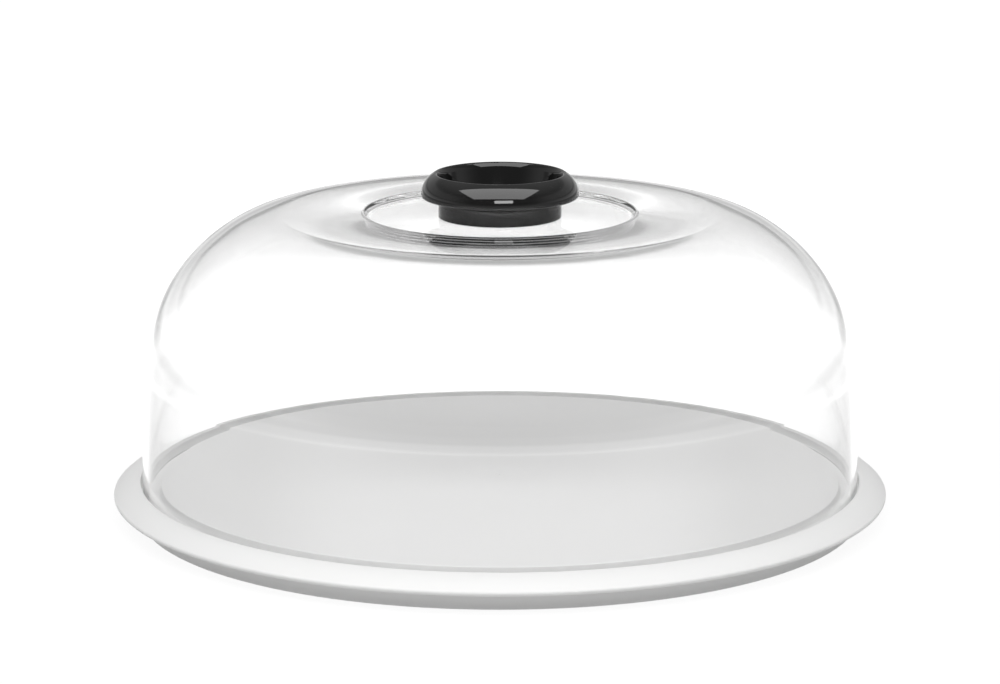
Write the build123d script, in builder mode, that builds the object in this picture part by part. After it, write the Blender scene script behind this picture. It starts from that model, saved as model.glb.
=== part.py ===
"""Cake dome with plate: a clear cover with a black cup-shaped knob, on a white footed plate.

Every piece is turned about the Z axis. Z = 0 is the surface that the plate's foot ring stands on.
"""
from build123d import *
from math import cos, radians, sin, tan
import os

# Plate, one white moulding of even thickness
plate_radius = 180.5           # to the corner of the rim; its rounding takes 0.5 off
plate_height = 16.6            # table to floor; the crest of the rim is level with the floor
plate_wall = 2.6
rim_width = 13.0               # crest of the rim to its outer edge
rim_drop = 6.0                 # the outer edge lies this far below the crest
rim_start_slope = 9.0          # degrees below level, where the rim leaves the crest
crest_width = 1.1
nose_fillet = 1.2              # rounding of the rim's outer edge
groove_width = 9.4             # ring-shaped seat of the dome, inside the crest
groove_depth = 4.2
groove_draft = 0.4             # each side of the groove leans out by this much
groove_fillet = 0.9
groove_mouth_fillet = 0.45
foot_inset = 12.3              # foot ring's outer face, in from the rim's outer edge
foot_width = 2.8
foot_draft = 0.4               # each side of the foot ring leans out by this much upwards
foot_fillet = 0.8

# Gate mark in the middle of the plate's floor: a shallow dimple with the trimmed gate in it
gate_radius = 13.5
gate_depth = 0.35
gate_stub_radius = 0.9
gate_stub_height = 0.25

# Dome, one clear moulding of even thickness
seat_gap = 0.8                 # between the dome and the crest of the rim, all round
dome_height = 129.1            # seat to the top edge of the step
dome_wall = 2.9
wall_draft = 1.0               # degrees, the wall leans in upwards
shoulder_radius = 79.4         # outside of the lower, larger shoulder arc
shoulder_end = 58.6            # degrees that the wall's direction has turned by, from upright,
                               # where the smaller arc takes over
crown_radius = 54.0            # outside of the upper, smaller shoulder arc
crown_slope = 1.0              # degrees, fall of the crown from the step to the shoulder
step_radius = 63.0             # top edge of the step round the sunk disc that the knob stands on
step_depth = 2.6
step_width = 2.8
step_fillet = 1.0
dome_foot_fillet = 0.7

# Knob, one black moulding: a cup whose mouth rolls out and down into a finger rim
neck_radius = 28.45
finger_reach = 8.0             # the finger rim stands out from the neck by this much
finger_gap = 9.2               # disc to the underside of the finger rim
rim_edge = 1.2                 # upright part of the finger rim, below its rounding
rim_rise = 10.15               # from there the rounding climbs to the corner of the mouth
rim_wall = 2.5
rim_edge_fillet = 1.1
hollow_turn = 41.0             # degrees that the hollow behind the finger rim follows its rounding
hollow_fillet = 3.0            # inside the finger rim, at the top of the neck
mouth_reach = 1.15             # corner of the mouth, before its fillet, out from the neck
mouth_fillet = 1.2
flare_width = 1.6              # the cup opens out by this much at its mouth
flare_height = 3.0
cup_draft = 14.0               # degrees that the cup's wall leans out, below the flare
cup_floor = 2.5
cup_fillet = 2.0
neck_fillet = 0.4
boss_wall = 3.6                # round the screw
boss_cap = 1.4                 # over the end of the screw's hole
boss_fillet = 0.8

# Screw and washer that hold the knob from inside the dome
screw_radius = 2.0
screw_length = 12.0
screw_point = 1.5              # height of the tapered point
screw_tip_radius = 1.1
head_radius = 4.0
head_height = 2.5
head_fillet = 1.4
recess_length = 4.4            # cross recess in the head
recess_width = 1.0
recess_depth = 1.5
washer_width = 5.7             # hole to rim
washer_thickness = 1.0
washer_fillet = 0.25
screw_clearance = 0.3          # radial, through the dome and the washer
thread_clearance = 0.05        # radial, in the boss
point_clearance = 0.9          # between the screw's tip and the end of its hole

# Levels and radii that follow from the sizes above
crest_radius = plate_radius - rim_width
groove_radius = crest_radius - groove_width
seat_level = plate_height - groove_depth
foot_radius = plate_radius - foot_inset
dome_radius = crest_radius - seat_gap
crown_level = seat_level + dome_height
disc_level = crown_level - step_depth
washer_level = disc_level - dome_wall
head_level = washer_level - washer_thickness
tip_level = head_level + screw_length
hole_radius = screw_radius + screw_clearance
rim_radius = neck_radius + finger_reach
mouth_radius = neck_radius + mouth_reach
rim_edge_level = disc_level + finger_gap
rim_level = rim_edge_level + rim_edge
mouth_level = rim_level + rim_rise
cup_floor_level = disc_level + cup_floor
boss_radius = screw_radius + thread_clearance + boss_wall
boss_level = tip_level + point_clearance + boss_cap

LOWER_LEFT = (Align.MIN, Align.MIN)
UPPER_LEFT = (Align.MIN, Align.MAX)
STANDING = (Align.CENTER, Align.CENTER, Align.MIN)
HANGING = (Align.CENTER, Align.CENTER, Align.MAX)

os.makedirs("parts", exist_ok=True)


def corners(section, *places):
    """The corners of a section that lie nearest to the given radii and levels."""
    return [section.vertices().sort_by_distance(place)[0] for place in places]


# Plate: one line runs over the floor, through the groove and down the rim, and is thickened
# downwards; the foot ring hangs below the groove
with BuildPart() as plate:
    with BuildSketch(Plane.XZ) as plate_section:
        with BuildLine():
            floor_and_groove = FilletPolyline(
                (0, plate_height),
                (groove_radius, plate_height),
                (groove_radius + groove_draft, seat_level),
                (crest_radius - groove_draft, seat_level),
                (crest_radius, plate_height),
                (crest_radius + crest_width, plate_height),
                radius=[groove_mouth_fillet, groove_fillet, groove_fillet, groove_mouth_fillet],
            )
            TangentArc(
                floor_and_groove @ 1,
                (plate_radius, plate_height - rim_drop),
                tangent=(cos(radians(rim_start_slope)), -sin(radians(rim_start_slope))),
            )
            offset(amount=plate_wall, side=Side.RIGHT)
        make_face()
        nose = plate_section.vertices().sort_by(Axis.X)[-2:]
        fillet(nose, min(nose_fillet, 0.48 * plate_wall))
        with BuildLine():
            foot_root = seat_level - plate_wall / 2
            Polyline(
                (foot_radius, 0),
                (foot_radius + foot_draft, foot_root),
                (foot_radius - foot_width - foot_draft, foot_root),
                (foot_radius - foot_width, 0),
                close=True,
            )
        make_face()
    revolve(axis=Axis.Z)
    foot_edges = plate.edges().group_by(Axis.Z)[0]
    fillet(foot_edges, min(foot_fillet, 0.45 * foot_width))
    with BuildSketch(Plane.XZ):
        with BuildLine():
            dimple = TangentArc(
                (0, plate_height - gate_depth), (gate_radius, plate_height), tangent=(1, 0)
            )
            Polyline(dimple @ 1, (0, plate_height), dimple @ 0)
        make_face()
    revolve(axis=Axis.Z, mode=Mode.SUBTRACT)
    with Locations((0, 0, plate_height - gate_depth + gate_stub_height)):
        Cylinder(gate_stub_radius, gate_stub_height + plate_wall / 2, align=HANGING)
plate.part.label = "plate"
export_step(plate.part, "parts/plate.step")

# Dome: its outer line runs from the foot up the wall, over the two arcs of the shoulder, along the
# crown and down the step to the disc, and is thickened inwards. The wall takes what height is
# left under the arcs and the crown's slope.
lean = tan(radians(wall_draft))
fall = tan(radians(crown_slope))
shoulder_rise = shoulder_radius * (sin(radians(shoulder_end)) - sin(radians(wall_draft)))
shoulder_run = shoulder_radius * (cos(radians(wall_draft)) - cos(radians(shoulder_end)))
crown_rise = crown_radius * (cos(radians(crown_slope)) - sin(radians(shoulder_end)))
crown_run = crown_radius * (cos(radians(shoulder_end)) - sin(radians(crown_slope)))
slope_run = dome_radius - shoulder_run - crown_run - step_radius
wall_rise = (dome_height - shoulder_rise - crown_rise - slope_run * fall) / (1 - lean * fall)

with BuildPart() as dome:
    with BuildSketch(Plane.XZ):
        with BuildLine():
            wall = Line(
                (dome_radius + dome_wall * lean, seat_level - dome_wall),
                (dome_radius - wall_rise * lean, seat_level + wall_rise),
            )
            shoulder = JernArc(wall @ 1, wall % 1, shoulder_radius, shoulder_end - wall_draft)
            crown = JernArc(shoulder @ 1, shoulder % 1, crown_radius, 90 - crown_slope - shoulder_end)
            FilletPolyline(
                crown @ 1,
                (step_radius, crown_level),
                (step_radius - step_width, disc_level),
                (0, disc_level),
                radius=step_fillet,
            )
            offset(amount=dome_wall, side=Side.LEFT)
        make_face()
    revolve(axis=Axis.Z)
    split(bisect_by=Plane.XY.offset(seat_level))
    dome_foot = dome.edges().group_by(Axis.Z)[0]
    fillet(dome_foot, min(dome_foot_fillet, 0.45 * dome_wall))
    with Locations((0, 0, disc_level)):
        Hole(hole_radius)
dome.part.label = "dome"
export_step(dome.part, "parts/dome.step")

# Knob: neck and finger rim in one outline, less the hollow behind the finger rim and less the cup,
# with a boss for the screw in the middle of the cup. The hollow follows the rim's rounding at an
# even wall, and the cup's wall leans out to the flare of its mouth.
rim_run = rim_radius - mouth_radius
rim_rounding = (rim_run**2 + rim_rise**2) / (2 * rim_run)
flare_start = (mouth_radius - flare_width, mouth_level - flare_height)
cup_radius = flare_start[0] - (flare_start[1] - cup_floor_level) * tan(radians(cup_draft))
with BuildPart() as knob:
    with BuildSketch(Plane.XZ) as knob_section:
        with BuildLine():
            rim = TangentArc((rim_radius, rim_level), (mouth_radius, mouth_level), tangent=(0, 1))
            Polyline(
                rim @ 1,
                (0, mouth_level),
                (0, rim_edge_level),
                (rim_radius, rim_edge_level),
                rim @ 0,
            )
        make_face()
        with BuildSketch(mode=Mode.SUBTRACT) as hollow:
            with BuildLine():
                roof = JernArc(
                    (rim_radius - rim_wall, rim_level), (0, 1), rim_rounding - rim_wall, hollow_turn
                )
                Polyline(
                    roof @ 1,
                    (neck_radius, (roof @ 1).Y),
                    (neck_radius, rim_edge_level),
                    (rim_radius - rim_wall, rim_edge_level),
                    roof @ 0,
                )
            make_face()
            roof_width = (roof @ 1).X - neck_radius
            roof_corner = corners(hollow, (neck_radius, (roof @ 1).Y))
            fillet(roof_corner, min(hollow_fillet, 0.95 * roof_width))
        rim_edge_corners = corners(
            knob_section, (rim_radius, rim_edge_level), (rim_radius - rim_wall, rim_edge_level)
        )
        fillet(rim_edge_corners, min(rim_edge_fillet, 0.48 * rim_wall, 0.95 * rim_edge))
        with Locations((0, disc_level)):
            Rectangle(neck_radius, finger_gap, align=LOWER_LEFT)
        fillet(corners(knob_section, (neck_radius, disc_level)), neck_fillet)
        with BuildSketch(mode=Mode.SUBTRACT) as cup:
            with BuildLine():
                flare = TangentArc(
                    flare_start,
                    (mouth_radius, mouth_level),
                    tangent=(sin(radians(cup_draft)), cos(radians(cup_draft))),
                )
                Polyline(
                    flare @ 1,
                    (boss_radius, mouth_level),
                    (boss_radius, cup_floor_level),
                    (cup_radius, cup_floor_level),
                    flare @ 0,
                )
            make_face()
            with Locations((0, mouth_level)):
                Rectangle(boss_radius, mouth_level - boss_level, align=UPPER_LEFT)
            fillet(corners(cup, (cup_radius, cup_floor_level)), cup_fillet)
        boss_corners = corners(knob_section, (boss_radius, boss_level), (boss_radius, cup_floor_level))
        fillet(boss_corners, boss_fillet)
        fillet(corners(knob_section, (mouth_radius, mouth_level)), mouth_fillet)
    revolve(axis=Axis.Z)
    with Locations((0, 0, disc_level)):
        Cylinder(
            screw_radius + thread_clearance,
            tip_level + point_clearance - disc_level,
            align=STANDING,
            mode=Mode.SUBTRACT,
        )
knob.part.label = "knob"
export_step(knob.part, "parts/knob.step")

# Washer, flat against the underside of the disc
with BuildPart() as washer:
    with BuildSketch(Plane.XY.offset(washer_level)):
        Circle(hole_radius + washer_width)
        Circle(hole_radius, mode=Mode.SUBTRACT)
    extrude(amount=-washer_thickness)
    washer_rim = washer.edges().filter_by(GeomType.CIRCLE).sort_by(SortBy.RADIUS)[-2:]
    fillet(washer_rim, min(washer_fillet, 0.45 * washer_thickness))
washer.part.label = "washer"
export_step(washer.part, "parts/washer.step")

# Screw: pan head with a cross recess below the washer, shank up into the boss
with BuildPart() as knob_screw:
    with Locations((0, 0, head_level)):
        Cylinder(head_radius, head_height, align=HANGING)
        fillet(knob_screw.edges().group_by(Axis.Z)[0], head_fillet)
        Cylinder(screw_radius, screw_length, align=STANDING)
    tip_edge = knob_screw.edges().group_by(Axis.Z)[-1]
    chamfer(tip_edge, screw_radius - screw_tip_radius, screw_point)
    with Locations((0, 0, head_level - head_height)):
        with PolarLocations(0, 2, angular_range=180):
            Box(recess_length, recess_width, recess_depth, align=STANDING, mode=Mode.SUBTRACT)
knob_screw.part.label = "knob_screw"
export_step(knob_screw.part, "parts/knob_screw.step")
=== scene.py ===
"""Cake dome with plate, dressed for its picture: a white footed plate, a clear turned dome that
stands in the plate's groove, and a black knob held from inside by a screw and a washer."""
from math import cos, pi, radians, sin, tan

import bmesh
import bpy
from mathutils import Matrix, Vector


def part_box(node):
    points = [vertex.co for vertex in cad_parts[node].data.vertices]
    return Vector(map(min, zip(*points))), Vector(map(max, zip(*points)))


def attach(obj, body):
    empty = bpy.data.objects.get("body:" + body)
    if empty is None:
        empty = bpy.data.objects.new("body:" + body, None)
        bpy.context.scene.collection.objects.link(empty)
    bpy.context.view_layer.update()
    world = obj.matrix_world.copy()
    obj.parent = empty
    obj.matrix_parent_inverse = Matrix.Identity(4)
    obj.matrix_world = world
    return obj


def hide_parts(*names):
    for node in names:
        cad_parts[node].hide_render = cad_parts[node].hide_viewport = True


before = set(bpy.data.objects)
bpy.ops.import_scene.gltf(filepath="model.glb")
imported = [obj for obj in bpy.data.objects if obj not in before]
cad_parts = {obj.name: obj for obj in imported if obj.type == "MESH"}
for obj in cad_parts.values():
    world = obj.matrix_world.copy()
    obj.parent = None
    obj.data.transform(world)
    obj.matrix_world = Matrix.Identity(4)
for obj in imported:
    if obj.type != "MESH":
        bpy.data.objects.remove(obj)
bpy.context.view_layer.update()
scene = bpy.context.scene
scene.view_settings.view_transform = "Standard"

# View: straight in front of the object and a little above it, as far off as a long lens needs.
view_distance = 1.750
view_height = 0.4735
view_fall = radians(12.69)
long_lens = 139.0
film_width = 36.0

camera_data = bpy.data.cameras.new("view")
camera_data.sensor_width = film_width
camera_data.lens = long_lens
camera = bpy.data.objects.new("view", camera_data)
camera.location = (0, -view_distance, view_height)
camera.rotation_euler = (pi / 2 - view_fall, 0, 0)
scene.collection.objects.link(camera)
scene.camera = camera

# Table: a round white sheet, which the view sees white with a faint shadow. Gloss and clear plastic
# look through it at the light band of the room.
table_radius = 2.0
table_sides = 96
table_white = 0.30             # share of the light that the sheet sends back to the object
table_glow = 0.50              # light through the sheet from below
table_shadow = 0.12            # share of its white that the object's shadow can take away
middle_reach = 0.30            # the sheet's middle, which the lamps help to make white
middle_white = 0.90
margin_reach = 0.80            # from here outwards it is white by itself
margin_white = 1.00

table_mesh = bpy.data.meshes.new("table")
table_shape = bmesh.new()
bmesh.ops.create_circle(table_shape, cap_ends=True, radius=table_radius, segments=table_sides)
table_shape.to_mesh(table_mesh)
table_shape.free()
table = bpy.data.objects.new("table", table_mesh)
scene.collection.objects.link(table)


def smooth_change(tree, value, ends, levels):
    """A level that goes smoothly from the first to the second while a value goes between two ends."""
    change = tree.nodes.new("ShaderNodeMapRange")
    change.interpolation_type = "SMOOTHSTEP"
    tree.links.new(value, change.inputs["Value"])
    for name, amount in zip(("From Min", "From Max", "To Min", "To Max"), (*ends, *levels)):
        change.inputs[name].default_value = amount
    return change.outputs[0]


def by_ray(tree, shader, *others):
    """The shader, with another one in its place for each kind of ray that is named."""
    path = tree.nodes.new("ShaderNodeLightPath")
    for ray, other in others:
        choice = tree.nodes.new("ShaderNodeMixShader")
        tree.links.new(path.outputs[ray], choice.inputs[0])
        tree.links.new(shader.outputs[0], choice.inputs[1])
        tree.links.new(other.outputs[0], choice.inputs[2])
        shader = choice
    return shader


def sheet_of(tree, white, light):
    """A dull sheet that sends back a share of the light and gives off light of its own."""
    dull = tree.nodes.new("ShaderNodeBsdfDiffuse")
    dull.inputs["Color"].default_value = (white, white, white, 1)
    both = tree.nodes.new("ShaderNodeAddShader")
    tree.links.new(dull.outputs[0], both.inputs[0])
    tree.links.new(light.outputs[0], both.inputs[1])
    return both


table_paper = bpy.data.materials.new("table_paper")
table_paper.use_nodes = True
tree = table_paper.node_tree
tree.nodes.clear()
output = tree.nodes.new("ShaderNodeOutputMaterial")
where = tree.nodes.new("ShaderNodeTexCoord")
distance = tree.nodes.new("ShaderNodeVectorMath")
distance.operation = "LENGTH"
tree.links.new(where.outputs["Object"], distance.inputs[0])
even_white = smooth_change(
    tree, distance.outputs["Value"], (middle_reach, margin_reach), (middle_white, margin_white)
)
bright = tree.nodes.new("ShaderNodeEmission")
tree.links.new(even_white, bright.inputs["Strength"])
glow = tree.nodes.new("ShaderNodeEmission")
glow.inputs["Strength"].default_value = table_glow
see_through = tree.nodes.new("ShaderNodeBsdfTransparent")
table_look = by_ray(
    tree,
    sheet_of(tree, table_white, glow),
    ("Is Glossy Ray", see_through),
    ("Is Transmission Ray", see_through),
    ("Is Camera Ray", sheet_of(tree, table_shadow, bright)),
)
tree.links.new(table_look.outputs[0], output.inputs["Surface"])
table_mesh.materials.append(table_paper)

# Room: white to the view and a low even grey to the surfaces. Gloss and clear plastic see it by
# height: grey walls, dark overhead and behind the viewer, and a band a little below the horizon,
# which is white ahead of the viewer and behind, and greyer at the two sides.
room_light = 0.10
room_white = 2.30              # strength of the white band
room_levels = (                # degrees above the horizon, share of that strength
    (-90.0, 0.40),
    (-40.0, 0.50),
    (-22.0, 0.50),
    (-16.0, 0.46),
    (-13.0, 0.58),
    (-12.0, 0.71),
    (-11.2, 1.00),
    (-10.0, 0.71),
    (-9.5, 0.65),
    (-8.5, 0.59),
    (-6.0, 0.54),
    (-5.2, 0.30),
    (-4.0, 0.21),
    (-2.0, 0.24),
    (-0.5, 0.37),
    (0.8, 0.33),
    (2.5, 0.25),
    (6.4, 0.24),
    (7.2, 0.10),
    (8.8, 0.10),
    (9.6, 0.20),
    (25.0, 0.20),
    (29.0, 0.13),
    (34.0, 0.12),
    (38.0, 0.14),
    (55.0, 0.20),
    (90.0, 0.20),
)
above_levels = ((-90.0, 0.0), (-3.0, 0.0), (0.0, 1.0), (90.0, 1.0))  # 1 above the horizon
behind_the_viewer = 0.35       # share of the level for the walls behind the viewer
beside_the_band = 0.50         # share of the level for the band at the two sides
walls_change = (-0.80, -0.10)  # between these ways along Y, where 1 is straight ahead
band_changes_ahead = (0.78, 0.95)
band_changes_behind = (-0.75, -0.05)

world = bpy.data.worlds.new("room")
scene.world = world
world.use_nodes = True
tree = world.node_tree
nodes = tree.nodes
link = tree.links.new
nodes.clear()
output = nodes.new("ShaderNodeOutputWorld")
where = nodes.new("ShaderNodeTexCoord")
ways = nodes.new("ShaderNodeSeparateXYZ")
link(where.outputs["Generated"], ways.inputs[0])
height = nodes.new("ShaderNodeMapRange")
height.inputs["From Min"].default_value = -1.0
link(ways.outputs["Z"], height.inputs["Value"])


def by_height(levels):
    """A ramp of greys by height, from straight below to straight above."""
    ramp = nodes.new("ShaderNodeValToRGB")
    link(height.outputs[0], ramp.inputs[0])
    stops = ramp.color_ramp.elements
    while len(stops) < len(levels):
        stops.new(0.5)
    for stop, (rise, level) in zip(stops, levels):
        stop.position = (sin(radians(rise)) + 1) / 2
        stop.color = (level, level, level, 1)
    return ramp.outputs[0]


ahead = ways.outputs["Y"]
wall_share = smooth_change(tree, ahead, walls_change, (behind_the_viewer, 1.0))
band_share = nodes.new("ShaderNodeMath")
band_share.operation = "MAXIMUM"
link(smooth_change(tree, ahead, band_changes_ahead, (beside_the_band, 1.0)), band_share.inputs[0])
link(smooth_change(tree, ahead, band_changes_behind, (1.0, beside_the_band)), band_share.inputs[1])
share = nodes.new("ShaderNodeMix")
share.data_type = "FLOAT"
link(by_height(above_levels), share.inputs["Factor"])
link(band_share.outputs[0], share.inputs["A"])
link(wall_share, share.inputs["B"])
strength = nodes.new("ShaderNodeMath")
strength.operation = "MULTIPLY"
strength.inputs[1].default_value = room_white
link(share.outputs["Result"], strength.inputs[0])
walls = nodes.new("ShaderNodeBackground")
link(by_height(room_levels), walls.inputs["Color"])
link(strength.outputs[0], walls.inputs["Strength"])
even = nodes.new("ShaderNodeBackground")
even.inputs["Color"].default_value = (1, 1, 1, 1)
even.inputs["Strength"].default_value = room_light
white = nodes.new("ShaderNodeBackground")
white.inputs["Color"].default_value = (1, 1, 1, 1)
room_look = by_ray(
    tree,
    even,
    ("Is Glossy Ray", walls),
    ("Is Transmission Ray", walls),
    ("Is Camera Ray", white),
)
link(room_look.outputs[0], output.inputs["Surface"])

# Lamps: a wide softbox overhead, tipped towards the object, and by the knob a small one that only
# gloss shows. Light keeps on for many bounces, because the dome's wall pipes it round the corners.
light_bounces = 64
for name, size, place, tip, turn_to_side, watts in (
    ("softbox", (4.75, 3.05), (-0.12, -1.45, 2.59), 17.0, 0.0, 145.0),
    ("small_lamp", (0.045, 0.0196), (0.009, -0.110, 0.1803), 69.5, 5.7, 0.0223),
):
    lamp_data = bpy.data.lights.new(name, "AREA")
    lamp_data.shape = "RECTANGLE"
    lamp_data.size, lamp_data.size_y = size
    lamp_data.energy = watts
    lamp = bpy.data.objects.new(name, lamp_data)
    lamp.location = place
    lamp.rotation_euler = (radians(tip), 0, radians(turn_to_side))
    lamp.visible_camera = False
    lamp.visible_diffuse = name == "softbox"
    lamp.visible_transmission = name == "softbox"
    scene.collection.objects.link(lamp)
scene.cycles.max_bounces = light_bounces
scene.cycles.glossy_bounces = light_bounces
scene.cycles.transmission_bounces = light_bounces

# Dome: one clear moulding, round about the axis, with a wall that leans in by a degree, a wide
# shoulder of two arcs and a sunk disc on top for the knob. It stands loose in the groove.
seat_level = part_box("dome")[0].z
dome_radius = 0.1667
dome_wall = 0.0029
wall_lean = radians(1.0)
shoulder_radius = 0.0794
shoulder_end = radians(58.6)
shoulder_bends = 64
crown_radius = 0.0540
crown_fall = radians(1.0)
crown_level = 0.1415
crown_bends = 34
step_radius = 0.0630
step_width = 0.0028
disc_level = 0.1389
step_rounding = 0.0010
step_bends = 8
dome_foot_rounding = 0.0007
foot_bends = 6
dome_hole_radius = 0.0023
turning_steps = 320
closing_distance = 1e-6


def turned_moulding():
    """A node tree that rounds the corners of a section and turns it about the upright axis."""
    tree = bpy.data.node_groups.new("turned_moulding", "GeometryNodeTree")
    for name, kind in (
        ("Section", "NodeSocketGeometry"),
        ("Turning Steps", "NodeSocketInt"),
        ("Turning Radius", "NodeSocketFloat"),
        ("Plastic", "NodeSocketMaterial"),
    ):
        tree.interface.new_socket(name, in_out="INPUT", socket_type=kind)
    tree.interface.new_socket("Moulding", in_out="OUTPUT", socket_type="NodeSocketGeometry")
    nodes = tree.nodes
    link = tree.links.new
    given = nodes.new("NodeGroupInput")
    result = nodes.new("NodeGroupOutput")
    line = nodes.new("GeometryNodeMeshToCurve")
    link(given.outputs["Section"], line.inputs["Mesh"])
    rounding = nodes.new("GeometryNodeInputNamedAttribute")
    rounding.data_type = "FLOAT"
    rounding.inputs["Name"].default_value = "rounding"
    bends = nodes.new("GeometryNodeInputNamedAttribute")
    bends.data_type = "INT"
    bends.inputs["Name"].default_value = "bends"
    rounded = nodes.new("GeometryNodeFilletCurve")
    rounded.mode = "POLY"
    link(line.outputs["Curve"], rounded.inputs["Curve"])
    link(rounding.outputs["Attribute"], rounded.inputs["Radius"])
    link(bends.outputs["Attribute"], rounded.inputs["Count"])
    circle = nodes.new("GeometryNodeCurvePrimitiveCircle")
    link(given.outputs["Turning Steps"], circle.inputs["Resolution"])
    link(given.outputs["Turning Radius"], circle.inputs["Radius"])
    upright = nodes.new("GeometryNodeSetCurveNormal")
    upright.mode = "Z_UP"
    link(circle.outputs["Curve"], upright.inputs["Curve"])
    turned = nodes.new("GeometryNodeCurveToMesh")
    link(upright.outputs["Curve"], turned.inputs["Curve"])
    link(rounded.outputs["Curve"], turned.inputs["Profile Curve"])
    outwards = nodes.new("GeometryNodeFlipFaces")
    link(turned.outputs["Mesh"], outwards.inputs["Mesh"])
    closed = nodes.new("GeometryNodeMergeByDistance")
    closed.inputs["Distance"].default_value = closing_distance
    link(outwards.outputs["Mesh"], closed.inputs["Geometry"])
    smooth = nodes.new("GeometryNodeSetShadeSmooth")
    link(closed.outputs["Geometry"], smooth.inputs["Geometry"])
    real = nodes.new("GeometryNodeRealizeInstances")
    link(smooth.outputs["Geometry"], real.inputs["Geometry"])
    finished = nodes.new("GeometryNodeSetMaterial")
    link(real.outputs["Geometry"], finished.inputs["Geometry"])
    link(given.outputs["Plastic"], finished.inputs["Material"])
    link(finished.outputs["Geometry"], result.inputs["Moulding"])
    return tree


def turn(name, section, plastic):
    """A finished piece from a closed section of corners (radius, level, rounding, bends)."""
    turning_radius = max(radius for radius, *_ in section)
    mesh = bpy.data.meshes.new(name)
    places = [(radius - turning_radius, -level, 0) for radius, level, *_ in section]
    count = len(section)
    mesh.from_pydata(places, [(i, (i + 1) % count) for i in range(count)], [])
    mesh.attributes.new("rounding", "FLOAT", "POINT").data.foreach_set(
        "value", [rounding for *_, rounding, bends in section]
    )
    mesh.attributes.new("bends", "INT", "POINT").data.foreach_set(
        "value", [bends for *_, bends in section]
    )
    piece = bpy.data.objects.new(name, mesh)
    scene.collection.objects.link(piece)
    tree = turned_moulding()
    turning = piece.modifiers.new("turning", "NODES")
    turning.node_group = tree
    sockets = {s.name: s.identifier for s in tree.interface.items_tree if s.in_out == "INPUT"}
    turning[sockets["Turning Steps"]] = turning_steps
    turning[sockets["Turning Radius"]] = turning_radius
    turning[sockets["Plastic"]] = plastic
    even_faces = piece.modifiers.new("even_faces", "WEIGHTED_NORMAL")
    even_faces.keep_sharp = True
    state = bpy.context.evaluated_depsgraph_get()
    finished = bpy.data.meshes.new_from_object(piece.evaluated_get(state))
    piece.modifiers.clear()
    piece.data = finished
    return piece


def meet(point, way, other_point, other_way):
    """Where two lines of a section cross."""
    across = way.x * other_way.y - way.y * other_way.x
    gap = other_point - point
    return point + way * ((gap.x * other_way.y - gap.y * other_way.x) / across)


def inset(line, wall):
    """The line moved to its left by a wall, with each rounding smaller or larger by that wall."""
    moved = []
    for i, (radius, level, rounding, bends) in enumerate(line):
        here = Vector((radius, level))
        before = Vector(line[max(i - 1, 0)][:2])
        after = Vector(line[min(i + 1, len(line) - 1)][:2])
        ways = [w.normalized() for w in (here - before, after - here) if w.length > 0]
        sides = [Vector((-w.y, w.x)) for w in ways]
        shift = (sides[0] + sides[-1]) * (wall / (1 + sides[0].dot(sides[-1])))
        left_turn = ways[0].x * ways[-1].y - ways[0].y * ways[-1].x > 0
        new_rounding = rounding - wall if left_turn else rounding + wall
        moved.append((*(here + shift), max(new_rounding, 0) if rounding else 0, bends))
    return moved


along_seat = Vector((1, 0))
up_the_wall = Vector((-sin(wall_lean), cos(wall_lean)))
between_arcs = Vector((-sin(shoulder_end), cos(shoulder_end)))
along_crown = Vector((-cos(crown_fall), sin(crown_fall)))
shoulder_reach = shoulder_radius * tan((shoulder_end - wall_lean) / 2)
crown_reach = crown_radius * tan((pi / 2 - crown_fall - shoulder_end) / 2)
foot = Vector((dome_radius, seat_level))
brink = Vector((step_radius, crown_level))
raised = foot + up_the_wall * shoulder_reach + between_arcs * (shoulder_reach + crown_reach)
crown_corner = meet(raised, up_the_wall, brink, along_crown)
shoulder_corner = crown_corner - between_arcs * (shoulder_reach + crown_reach)
outer_line = [
    (*foot, 0, 1),
    (*shoulder_corner, shoulder_radius, shoulder_bends),
    (*crown_corner, crown_radius, crown_bends),
    (*brink, step_rounding, step_bends),
    (step_radius - step_width, disc_level, step_rounding, step_bends),
    (dome_hole_radius, disc_level, 0, 1),
]
inner_line = inset(outer_line, dome_wall)
inner_foot = meet(Vector(inner_line[0][:2]), up_the_wall, foot, along_seat)
outer_line[0] = (*foot, dome_foot_rounding, foot_bends)
inner_line[0] = (*inner_foot, dome_foot_rounding, foot_bends)


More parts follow.
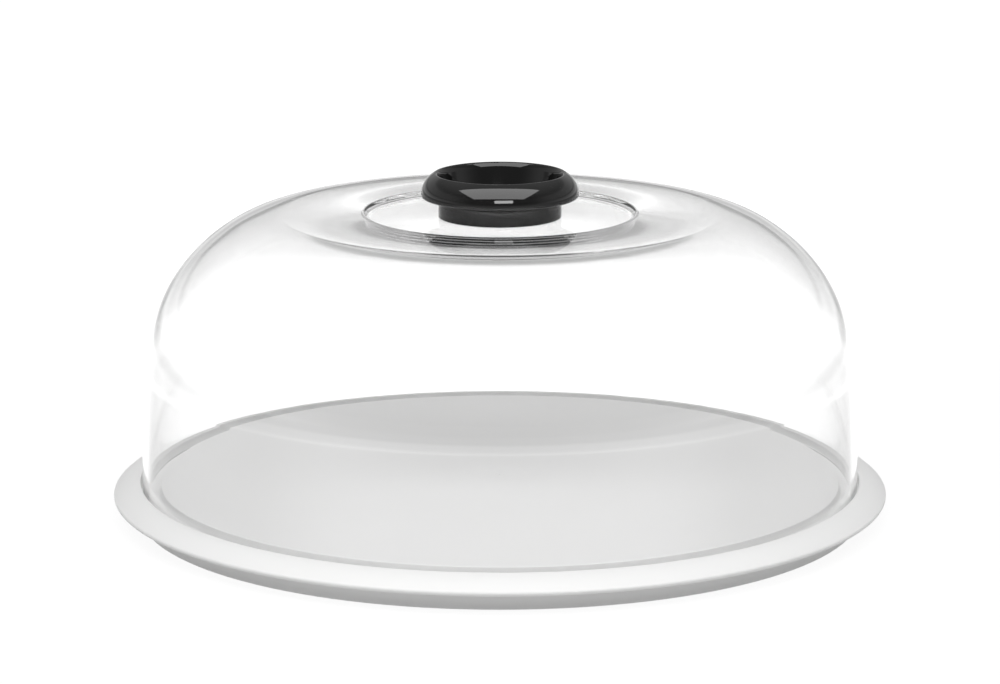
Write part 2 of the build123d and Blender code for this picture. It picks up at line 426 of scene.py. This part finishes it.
def moulded_skin():
    """The skin that a mould leaves: a fine texture, and a slow unevenness from the plastic's flow."""
    skin = bpy.data.node_groups.new("moulded_skin", "ShaderNodeTree")
    for name, kind, value in (
        ("Place", "NodeSocketVector", None),
        ("Texture Scale", "NodeSocketFloat", 900.0),
        ("Texture Height", "NodeSocketFloat", 0.5),
        ("Flow Scale", "NodeSocketFloat", 12.0),
        ("Flow Height", "NodeSocketFloat", 0.5),
        ("Roughness", "NodeSocketFloat", 0.4),
        ("Roughness Range", "NodeSocketFloat", 0.05),
        ("Shade", "NodeSocketColor", None),
        ("Shade Range", "NodeSocketFloat", 0.02),
    ):
        socket = skin.interface.new_socket(name, in_out="INPUT", socket_type=kind)
        if value is not None:
            socket.default_value = value
    for name, kind in (
        ("Color", "NodeSocketColor"),
        ("Roughness", "NodeSocketFloat"),
        ("Height", "NodeSocketFloat"),
    ):
        skin.interface.new_socket(name, in_out="OUTPUT", socket_type=kind)
    nodes = skin.nodes
    link = skin.links.new
    given = nodes.new("NodeGroupInput")
    result = nodes.new("NodeGroupOutput")
    texture = nodes.new("ShaderNodeTexNoise")
    texture.inputs["Detail"].default_value = 3.0
    link(given.outputs["Place"], texture.inputs["Vector"])
    link(given.outputs["Texture Scale"], texture.inputs["Scale"])
    flow = nodes.new("ShaderNodeTexNoise")
    flow.inputs["Detail"].default_value = 2.0
    flow.inputs["Distortion"].default_value = 0.6
    link(given.outputs["Place"], flow.inputs["Vector"])
    link(given.outputs["Flow Scale"], flow.inputs["Scale"])

    def about_nothing(noise, reach):
        """A noise moved to lie evenly about 0, times a reach."""
        middle = nodes.new("ShaderNodeMath")
        middle.operation = "SUBTRACT"
        link(noise.outputs["Fac"], middle.inputs[0])
        middle.inputs[1].default_value = 0.5
        spread = nodes.new("ShaderNodeMath")
        spread.operation = "MULTIPLY"
        link(middle.outputs[0], spread.inputs[0])
        link(given.outputs[reach], spread.inputs[1])
        return spread.outputs[0]

    def together(first, second):
        """The sum of two values."""
        both = nodes.new("ShaderNodeMath")
        both.operation = "ADD"
        link(first, both.inputs[0])
        link(second, both.inputs[1])
        return both.outputs[0]

    fine = about_nothing(texture, "Texture Height")
    slow = about_nothing(flow, "Flow Height")
    link(together(fine, slow), result.inputs["Height"])
    duller = about_nothing(flow, "Roughness Range")
    link(together(given.outputs["Roughness"], duller), result.inputs["Roughness"])
    lighter = nodes.new("ShaderNodeMath")
    lighter.operation = "ADD"
    lighter.inputs[0].default_value = 1.0
    link(about_nothing(flow, "Shade Range"), lighter.inputs[1])
    shade = nodes.new("ShaderNodeHueSaturation")
    link(given.outputs["Shade"], shade.inputs["Color"])
    link(lighter.outputs[0], shade.inputs["Value"])
    link(shade.outputs["Color"], result.inputs["Color"])
    return skin


def put_skin_on(material, relief, **amounts):
    """Places the moulded skin in a material, with this finish's own amounts and depth of relief,
    and gives back the skin's node."""
    tree = material.node_tree
    body = tree.nodes["Principled BSDF"]
    where = tree.nodes.new("ShaderNodeTexCoord")
    skin = tree.nodes.new("ShaderNodeGroup")
    skin.node_tree = bpy.data.node_groups.get("moulded_skin") or moulded_skin()
    tree.links.new(where.outputs["Object"], skin.inputs["Place"])
    for name, amount in amounts.items():
        skin.inputs[name.replace("_", " ").title()].default_value = amount
    bump = tree.nodes.new("ShaderNodeBump")
    bump.inputs["Strength"].default_value = 1.0
    bump.inputs["Distance"].default_value = relief
    tree.links.new(skin.outputs["Height"], bump.inputs["Height"])
    tree.links.new(bump.outputs["Normal"], body.inputs["Normal"])
    return skin


clear_plastic = bpy.data.materials.new("clear_plastic")
clear_plastic.use_nodes = True
tree = clear_plastic.node_tree
body = tree.nodes["Principled BSDF"]
body.inputs["Base Color"].default_value = (0.99, 0.99, 0.99, 1)
body.inputs["Roughness"].default_value = 0.0
body.inputs["IOR"].default_value = 1.57
body.inputs["Transmission Weight"].default_value = 1.0
light_let_by = tree.nodes.new("ShaderNodeBsdfTransparent")
light_let_by.inputs["Color"].default_value = (0.96, 0.96, 0.96, 1)
dome_look = by_ray(tree, body, ("Is Diffuse Ray", light_let_by), ("Is Shadow Ray", light_let_by))
tree.links.new(dome_look.outputs[0], tree.nodes["Material Output"].inputs["Surface"])
put_skin_on(
    clear_plastic,
    relief=0.00004,
    texture_height=0.0,
    flow_scale=14.0,
    flow_height=1.0,
)

clear_dome = turn("clear_dome", outer_line + inner_line[::-1], clear_plastic)
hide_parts("dome")
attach(clear_dome, "cover")

# Plate: one white moulding with a satin finish, a groove for the dome and a foot ring. The small
# dimple in the middle of its floor is where the plastic went in.
white_plastic = bpy.data.materials.new("white_plastic")
white_plastic.use_nodes = True
body = white_plastic.node_tree.nodes["Principled BSDF"]
body.inputs["Specular IOR Level"].default_value = 0.25
skin = put_skin_on(
    white_plastic,
    relief=0.00003,
    texture_scale=1400.0,
    texture_height=1.0,
    flow_scale=9.0,
    flow_height=0.3,
    roughness=0.42,
    roughness_range=0.10,
    shade=(0.775, 0.775, 0.772, 1),
    shade_range=0.03,
)
link = white_plastic.node_tree.links.new
link(skin.outputs["Color"], body.inputs["Base Color"])
link(skin.outputs["Roughness"], body.inputs["Roughness"])
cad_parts["plate"].material_slots[0].material = white_plastic

# Knob: a black gloss moulding that is held by its rim, with an open cup in its top. Its mirror shine
# is broken by the faint waves that cooling leaves.
black_plastic = bpy.data.materials.new("black_plastic")
black_plastic.use_nodes = True
body = black_plastic.node_tree.nodes["Principled BSDF"]
body.inputs["Base Color"].default_value = (0.006, 0.006, 0.006, 1)
body.inputs["IOR"].default_value = 1.54
skin = put_skin_on(
    black_plastic,
    relief=0.00002,
    texture_scale=420.0,
    texture_height=0.12,
    flow_scale=45.0,
    flow_height=0.6,
    roughness=0.05,
    roughness_range=0.04,
)
black_plastic.node_tree.links.new(skin.outputs["Roughness"], body.inputs["Roughness"])
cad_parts["knob"].material_slots[0].material = black_plastic

# Washer and screw: plain stainless steel, turned, so its marks run in rings round the axis. The
# screw comes up through the washer and the dome into the knob's boss.
ring_pitch = 0.00113
wave_length = 2 * pi / 20      # of the Wave Texture, in its own units at a scale of 1
steel = bpy.data.materials.new("stainless_steel")
steel.use_nodes = True
nodes = steel.node_tree.nodes
link = steel.node_tree.links.new
body = nodes["Principled BSDF"]
body.inputs["Base Color"].default_value = (0.62, 0.61, 0.59, 1)
body.inputs["Metallic"].default_value = 1.0
where = nodes.new("ShaderNodeTexCoord")
rings = nodes.new("ShaderNodeTexWave")
rings.wave_type = "RINGS"
rings.rings_direction = "Z"
rings.inputs["Scale"].default_value = wave_length / ring_pitch
rings.inputs["Distortion"].default_value = 0.8
rings.inputs["Detail"].default_value = 3.0
rings.inputs["Detail Scale"].default_value = 2.0
link(where.outputs["Object"], rings.inputs["Vector"])
dulled = nodes.new("ShaderNodeMapRange")
dulled.inputs["To Min"].default_value = 0.22
dulled.inputs["To Max"].default_value = 0.38
link(rings.outputs["Fac"], dulled.inputs["Value"])
link(dulled.outputs[0], body.inputs["Roughness"])
scored = nodes.new("ShaderNodeBump")
scored.inputs["Strength"].default_value = 0.4
scored.inputs["Distance"].default_value = 0.00001
link(rings.outputs["Fac"], scored.inputs["Height"])
link(scored.outputs["Normal"], body.inputs["Normal"])
for name in ("washer", "knob_screw"):
    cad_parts[name].material_slots[0].material = steel
